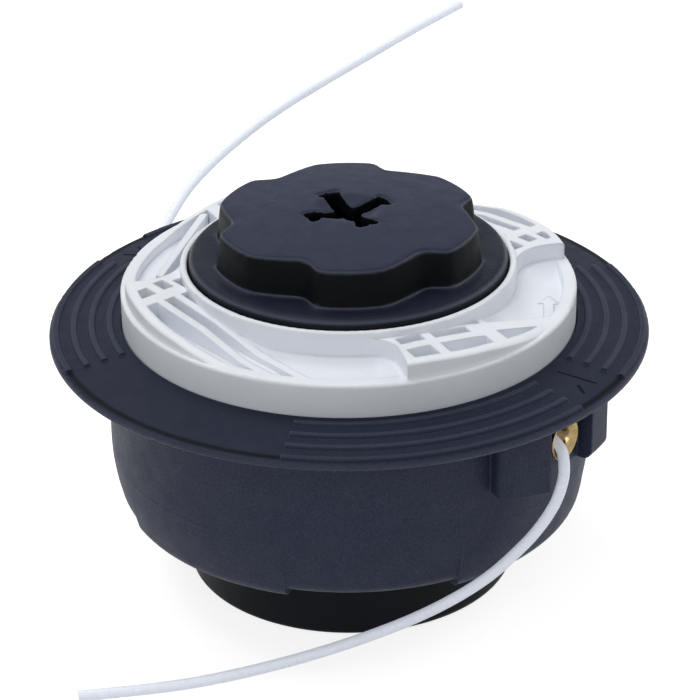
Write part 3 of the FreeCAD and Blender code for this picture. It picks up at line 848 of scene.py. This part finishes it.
@dataclass
class Eyelet:
    """A flared brass eyelet, turned from its bore out to its rolled lip, in millimetres."""

    height: float = 48.1
    steps: int = 48
    merge_gap: float = 0.01
    smooth_angle: float = 45.0
    profile: tuple[tuple[float, float], ...] = (
        (2.2, 49.8),
        (2.2, 54.0),
        (2.35, 55.4),
        (2.75, 56.7),
        (3.4, 57.5),
        (4.1, 58.05),
        (4.4, 58.2),
        (4.55, 58.15),
        (4.58, 58.0),
        (4.3, 57.5),
        (3.9, 57.0),
        (3.4, 57.0),
        (3.4, 49.8),
        (2.2, 49.8),
    )

    def build(self) -> bpy.types.Object:
        """Draws a ring out step by step along the profile and closes it on itself.

        Returns:
            The front eyelet's object.
        """
        radius, reach = self.profile[0]
        bpy.ops.object.select_all(action="DESELECT")
        bpy.ops.mesh.primitive_circle_add(vertices=self.steps, radius=radius * MM)
        ring = bpy.context.active_object
        ring.name = "eyelet_front_flare"
        bpy.ops.object.mode_set(mode="EDIT")
        bpy.ops.mesh.select_all(action="SELECT")
        bpy.ops.transform.translate(value=(0.0, 0.0, reach * MM))
        for wider, further in self.profile[1:]:
            move = (0.0, 0.0, (further - reach) * MM)
            bpy.ops.mesh.extrude_region_move(TRANSFORM_OT_translate={"value": move})
            bpy.ops.transform.resize(value=(wider / radius, wider / radius, 1.0))
            radius, reach = wider, further
        bpy.ops.mesh.select_all(action="SELECT")
        bpy.ops.mesh.remove_doubles(threshold=self.merge_gap * MM)
        bpy.ops.mesh.normals_make_consistent(inside=False)
        bpy.ops.object.mode_set(mode="OBJECT")
        bpy.ops.object.shade_smooth_by_angle(angle=math.radians(self.smooth_angle))
        spot = Vector((0.0, 0.0, self.height * MM))
        settle(ring, spot, Vector((0.0, 1.0, 0.0)), Vector((1.0, 0.0, 0.0)))
        return ring

    def dress(self, front: bpy.types.Object) -> None:
        """Puts the front eyelet and its copy in the place of the plain ones.

        Args:
            front: The front eyelet.
        """
        brass = EYELET_BRASS.make()
        rear = twin(front, "eyelet_rear_flare")
        for ring, node in ((front, "eyelet_front"), (rear, "eyelet_rear")):
            fit(ring, brass, Body.HEAD)
            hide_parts(node)


@dataclass
class Cap:
    """The ribbed twist-lock cap with the raised arrow in its right scoop."""

    floor: float = 65.3
    relief: float = 0.2
    shaft_length: float = 6.6
    shaft_width: float = 2.4
    head_length: float = 3.8
    head_width: float = 4.8
    neck: float = 0.05
    tip_share: float = 0.06
    sunk: float = 0.02
    heading: float = 126.0
    foot: tuple[float, float] = (42.3, 15.3)

    def build(self) -> bpy.types.Object:
        """Shapes the arrow from a flat strip whose end is drawn out to a head.

        Returns:
            The arrow's object.
        """
        bpy.ops.object.select_all(action="DESELECT")
        bpy.ops.mesh.primitive_plane_add(size=MM)
        arrow = bpy.context.active_object
        arrow.name = "turn_arrow"
        bpy.ops.object.mode_set(mode="EDIT")
        bpy.ops.mesh.select_all(action="SELECT")
        bpy.ops.transform.resize(value=(self.shaft_length, self.shaft_width, 1.0))
        bpy.ops.transform.translate(value=(self.shaft_length * MM / 2, 0.0, 0.0))
        bpy.ops.object.mode_set(mode="OBJECT")
        for vertex in arrow.data.vertices:
            vertex.select = vertex.co.x > MM
        for part in (*arrow.data.edges, *arrow.data.polygons):
            part.select = False
        bpy.ops.object.mode_set(mode="EDIT")
        bpy.ops.mesh.select_mode(type="VERT")
        bpy.ops.mesh.select_mode(use_extend=True, type="EDGE")
        bpy.ops.mesh.extrude_region_move(TRANSFORM_OT_translate={"value": (self.neck * MM, 0.0, 0.0)})
        bpy.ops.transform.resize(value=(1.0, self.head_width / self.shaft_width, 1.0))
        drawn_out = (self.head_length * MM, 0.0, 0.0)
        bpy.ops.mesh.extrude_region_move(TRANSFORM_OT_translate={"value": drawn_out})
        bpy.ops.transform.resize(value=(1.0, self.tip_share, 1.0))
        bpy.ops.mesh.select_all(action="SELECT")
        bpy.ops.mesh.extrude_region_move(TRANSFORM_OT_translate={"value": (0.0, 0.0, self.relief * MM)})
        bpy.ops.mesh.select_all(action="SELECT")
        bpy.ops.mesh.normals_make_consistent(inside=False)
        bpy.ops.object.mode_set(mode="OBJECT")
        turn = math.radians(self.heading)
        spot = Vector((self.foot[0], self.foot[1], self.floor - self.sunk)) * MM
        settle(arrow, spot, Vector((math.cos(turn), math.sin(turn), 0.0)), Vector((0.0, 0.0, 1.0)))
        return arrow

    def dress(self, arrow: bpy.types.Object) -> None:
        """Gives the cap and its arrow their finish.

        Args:
            arrow: The raised arrow.
        """
        skin = CAP_SKIN.make()
        dress("cap", skin)
        fit(arrow, skin, Body.CAP)


@dataclass
class Reel:
    """The reel with its line and the bump knob, whose lobes are rounded off."""

    voxel: float = 0.5
    lobe_inside: float = 17.0
    lobe_foot: float = 75.0
    lobe_rounds: int = 45
    edge_rounds: int = 4
    step: float = 0.5

    def build(self) -> bpy.types.Object:
        """Rounds a copy of the knob: its lobes well, and all its edges a little.

        Returns:
            The rounded knob.
        """
        knob = merged_copy("bump_knob", "bump_knob_rounded")
        even = knob.modifiers.new("even_mesh", "REMESH")
        even.mode = "VOXEL"
        even.voxel_size = self.voxel * MM
        bpy.ops.object.modifier_apply(modifier=even.name)
        lobes = knob.vertex_groups.new(name="lobes")
        for vertex in knob.data.vertices:
            across = math.hypot(vertex.co.x, vertex.co.y)
            if across > self.lobe_inside * MM and vertex.co.z > self.lobe_foot * MM:
                lobes.add([vertex.index], 1.0, "REPLACE")
        waves = knob.modifiers.new("round_lobes", "SMOOTH")
        waves.factor = self.step
        waves.iterations = self.lobe_rounds
        waves.use_z = False
        waves.vertex_group = lobes.name
        bpy.ops.object.modifier_apply(modifier=waves.name)
        edges = knob.modifiers.new("round_edges", "SMOOTH")
        edges.factor = self.step
        edges.iterations = self.edge_rounds
        bpy.ops.object.modifier_apply(modifier=edges.name)
        knob.vertex_groups.clear()
        bpy.ops.object.shade_smooth()
        log.info("rounded knob has %d faces", len(knob.data.polygons))
        return knob

    def dress(self, knob: bpy.types.Object) -> None:
        """Gives the reel, the knob and the wound line their finishes.

        Args:
            knob: The rounded knob.
        """
        fit(knob, KNOB_SKIN.make(), Body.REEL)
        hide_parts("bump_knob")
        dress("spool", REEL_SKIN.make())
        dress("wound_line", WOUND_NYLON.make())


@dataclass
class Drive:
    """The collar with its steel parts, and the spring and washer of the feed."""

    stroke: float = 6.1
    smooth_angle: float = 50.0

    def build(self) -> bpy.types.Object:
        """Copies the spring with its doubled points joined and shades it smooth by angle.

        Returns:
            The spring's object.
        """
        coil = merged_copy("spring", "spring_coil")
        bpy.ops.object.shade_smooth_by_angle(angle=math.radians(self.smooth_angle))
        return coil

    def press(self, coil: bpy.types.Object) -> None:
        """Gives the spring a mesh of its own.

        Args:
            coil: The spring.
        """
        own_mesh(coil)

    def dress(self, coil: bpy.types.Object) -> None:
        """Gives the collar and the steel parts their finishes.

        Args:
            coil: The spring.
        """
        dress("drive_collar", COLLAR_SKIN.make())
        steel = PLAIN_STEEL.make()
        dress("thread_insert", steel)
        dress("thrust_washer", steel)
        dark = DARK_STEEL.make()
        dress("retaining_ring", dark)
        fit(coil, dark, Body.HEAD)
        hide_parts("spring")
        self.press(coil)


@dataclass
class LineEnd:
    """A free end of the trimmer line that leaves the bowl through an eyelet."""

    node: str
    length: float
    route: Sequence[Point]
    diameter: float = LINE_DIAMETER * MM
    steps: int = 16
    roundness: int = 5

    def build(self) -> bpy.types.Object:
        """Makes the line as one smooth round curve along its route.

        Returns:
            The curve's object.
        """
        curve = bpy.data.curves.new(self.node + "_curve", "CURVE")
        curve.dimensions = "3D"
        curve.resolution_u = self.steps
        curve.bevel_depth = self.diameter / 2
        curve.bevel_resolution = self.roundness
        curve.use_fill_caps = True
        spline = curve.splines.new("NURBS")
        spline.points.add(len(self.route) - 1)
        for point, place in zip(spline.points, self.route):
            point.co = (*(value * MM for value in place), 1.0)
        spline.order_u = 3
        spline.use_endpoint_u = True
        piece = bpy.data.objects.new(self.node + "_strand", curve)
        bpy.context.collection.objects.link(piece)
        return piece

    def finish(self, piece: bpy.types.Object, material: bpy.types.Material) -> None:
        """Dresses the line and ties it to the head.

        Args:
            piece: The curve's object.
            material: The line's finish.
        """
        piece.data.materials.append(material)
        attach(piece, Body.HEAD.value)
        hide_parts(self.node)
        log.info("line end %s", piece.name)


@dataclass
class PhotoCamera:
    """A camera that stands where the photograph was taken."""

    elevation: float = 27.02
    azimuth: float = VIEW_AZIMUTH
    roll: float = 0.697
    distance: float = 0.604
    height: float = 0.05043
    focal: float = 2760.0
    centre: float = 349.34
    frame: float = 700.0
    sensor: float = 36.0
    near: float = 0.01

    def build(self) -> bpy.types.Object:
        """Places the camera.

        Returns:
            The camera's object.
        """
        rise = math.radians(self.elevation)
        turn = math.radians(self.azimuth)
        lean = math.radians(self.roll)
        ahead = Vector((-math.sin(turn) * math.cos(rise), math.cos(turn) * math.cos(rise), -math.sin(rise)))
        right = Vector((math.cos(turn), math.sin(turn), 0.0))
        up = right.cross(ahead)
        across = right * math.cos(lean) - up * math.sin(lean)
        upward = right * math.sin(lean) + up * math.cos(lean)
        stand = Vector((0.0, 0.0, self.height)) - ahead * self.distance
        lens = bpy.data.cameras.new("photo_camera")
        lens.sensor_width = self.sensor
        lens.lens = self.focal / self.frame * self.sensor
        lens.shift_x = (self.frame / 2 - self.centre) / self.frame
        lens.clip_start = self.near
        camera = bpy.data.objects.new("photo_camera", lens)
        bpy.context.collection.objects.link(camera)
        columns = Matrix((across, upward, -ahead)).transposed().to_4x4()
        columns.translation = stand
        camera.matrix_world = columns
        bpy.context.scene.camera = camera
        return camera


@dataclass(frozen=True)
class Lamp:
    """A soft square lamp, placed as seen from the camera: right, away and up, in metres."""

    name: str
    power: float
    size: float
    place: Point


TOP_LAMP = Lamp("top_lamp", power=7.0, size=0.9, place=(-0.3, 0.25, 1.05))
FILL_LAMP = Lamp("fill_lamp", power=3.2, size=0.8, place=(-0.2, -1.0, 0.6))
BACK_LAMP = Lamp("back_lamp", power=2.6, size=0.6, place=(0.9, 0.3, 0.6))


@dataclass
class Studio:
    """The pale floor, the white surround and the soft lamps."""

    floor_size: float = 6.0
    floor_height: float = -0.0003
    floor_tone: float = 0.6
    floor_roughness: float = 0.9
    floor_lift: float = 0.78
    surround: float = 0.26
    aim_height: float = 0.05

    def floor(self) -> bpy.types.Object:
        """Lays the floor under the collar.

        Returns:
            The floor's object.
        """
        bpy.ops.object.select_all(action="DESELECT")
        bpy.ops.mesh.primitive_plane_add(size=self.floor_size, location=(0.0, 0.0, self.floor_height))
        floor = bpy.context.active_object
        floor.name = "studio_floor"
        sheet = Shader("studio_floor_paint")
        grey = (self.floor_tone,) * 3
        sheet.surface.inputs["Base Color"].default_value = (*grey, 1.0)
        sheet.surface.inputs["Roughness"].default_value = self.floor_roughness
        sheet.surface.inputs["Specular IOR Level"].default_value = 0.0
        seen = self.seen(sheet.tree)
        lift = sheet.add("ShaderNodeMath", operation="MULTIPLY")
        lift.inputs[1].default_value = self.floor_lift
        sheet.join(seen, lift.inputs[0])
        sheet.surface.inputs["Emission Color"].default_value = WHITE
        sheet.join(lift.outputs["Value"], sheet.surface.inputs["Emission Strength"])
        floor.data.materials.append(sheet.material)
        return floor

    def seen(self, tree: bpy.types.NodeTree) -> bpy.types.NodeSocket:
        """Adds a value that is one for rays that show the background.

        Args:
            tree: Node tree of a material or of the world.

        Returns:
            The value's socket.
        """
        path = tree.nodes.new("ShaderNodeLightPath")
        first = tree.nodes.new("ShaderNodeMath")
        first.operation = "MAXIMUM"
        second = tree.nodes.new("ShaderNodeMath")
        second.operation = "MAXIMUM"
        tree.links.new(path.outputs["Is Camera Ray"], first.inputs[0])
        tree.links.new(path.outputs["Is Glossy Ray"], first.inputs[1])
        tree.links.new(first.outputs["Value"], second.inputs[0])
        tree.links.new(path.outputs["Is Transmission Ray"], second.inputs[1])
        return second.outputs["Value"]

    def world(self) -> None:
        """Makes the surround white to the camera and plain to the object."""
        world = bpy.data.worlds.new("studio_surround")
        bpy.context.scene.world = world
        world.use_nodes = True
        tree = world.node_tree
        background = tree.nodes["Background"]
        background.inputs["Color"].default_value = WHITE
        level = tree.nodes.new("ShaderNodeMapRange")
        level.inputs["To Min"].default_value = self.surround
        level.inputs["To Max"].default_value = 1.0
        tree.links.new(self.seen(tree), level.inputs["Value"])
        tree.links.new(level.outputs["Result"], background.inputs["Strength"])

    def hang(self, lamp: Lamp) -> None:
        """Hangs a lamp that faces the head.

        Args:
            lamp: The lamp.
        """
        turn = math.radians(VIEW_AZIMUTH)
        right = Vector((math.cos(turn), math.sin(turn), 0.0))
        away = Vector((-math.sin(turn), math.cos(turn), 0.0))
        spot = right * lamp.place[0] + away * lamp.place[1] + Vector((0.0, 0.0, lamp.place[2]))
        light = bpy.data.lights.new(lamp.name, "AREA")
        light.shape = "SQUARE"
        light.size = lamp.size
        light.energy = lamp.power
        holder = bpy.data.objects.new(lamp.name, light)
        holder.location = spot
        aim = Vector((0.0, 0.0, self.aim_height)) - spot
        holder.rotation_euler = aim.to_track_quat("-Z", "Y").to_euler()
        bpy.context.collection.objects.link(holder)

    def build(self) -> None:
        """Sets up floor, surround, lamps and the plain view transform."""
        self.floor()
        self.world()
        for lamp in (TOP_LAMP, FILL_LAMP, BACK_LAMP):
            self.hang(lamp)
        bpy.context.scene.view_settings.view_transform = "Standard"


FRONT_LINE = LineEnd(
    "front_line",
    length=0.132,
    route=(
        (50.4, 0.0, 48.0),
        (57.7, -0.8, 47.8),
        (60.7, -3.5, 43.4),
        (60.5, -4.2, 39.6),
        (59.8, -5.4, 35.6),
        (58.4, -7.9, 31.4),
        (56.5, -11.4, 27.3),
        (52.0, -19.2, 20.4),
        (44.4, -29.6, 14.4),
        (35.0, -41.2, 9.8),
        (25.2, -53.3, 6.5),
        (14.5, -65.5, 4.0),
        (4.1, -74.9, 2.3),
        (-5.1, -82.6, 1.2),
    ),
)
REAR_LINE = LineEnd(
    "rear_line",
    length=0.1377,
    route=(
        (-50.0, 0.0, 48.0),
        (-60.0, 0.6, 48.1),
        (-67.2, 8.0, 50.8),
        (-71.4, 19.1, 55.5),
        (-74.3, 30.5, 60.0),
        (-75.1, 45.0, 64.3),
        (-73.6, 60.5, 69.0),
        (-69.8, 75.5, 73.4),
        (-66.2, 90.5, 77.3),
        (-63.2, 105.0, 80.8),
        (-61.0, 118.4, 83.0),
    ),
)


def main() -> None:
    """Builds the camera, the lines, the sub-assemblies and the studio in order."""
    logging.basicConfig(level=logging.INFO)
    PhotoCamera().build()
    free_nylon = FREE_NYLON.make()
    for line in (FRONT_LINE, REAR_LINE):
        line.finish(line.build(), free_nylon)
    housing = Housing()
    housing.dress(housing.build())
    eyelet = Eyelet()
    eyelet.dress(eyelet.build())
    cap = Cap()
    cap.dress(cap.build())
    reel = Reel()
    reel.dress(reel.build())
    drive = Drive()
    drive.dress(drive.build())
    Studio().build()


if __name__ == "__main__":
    main()
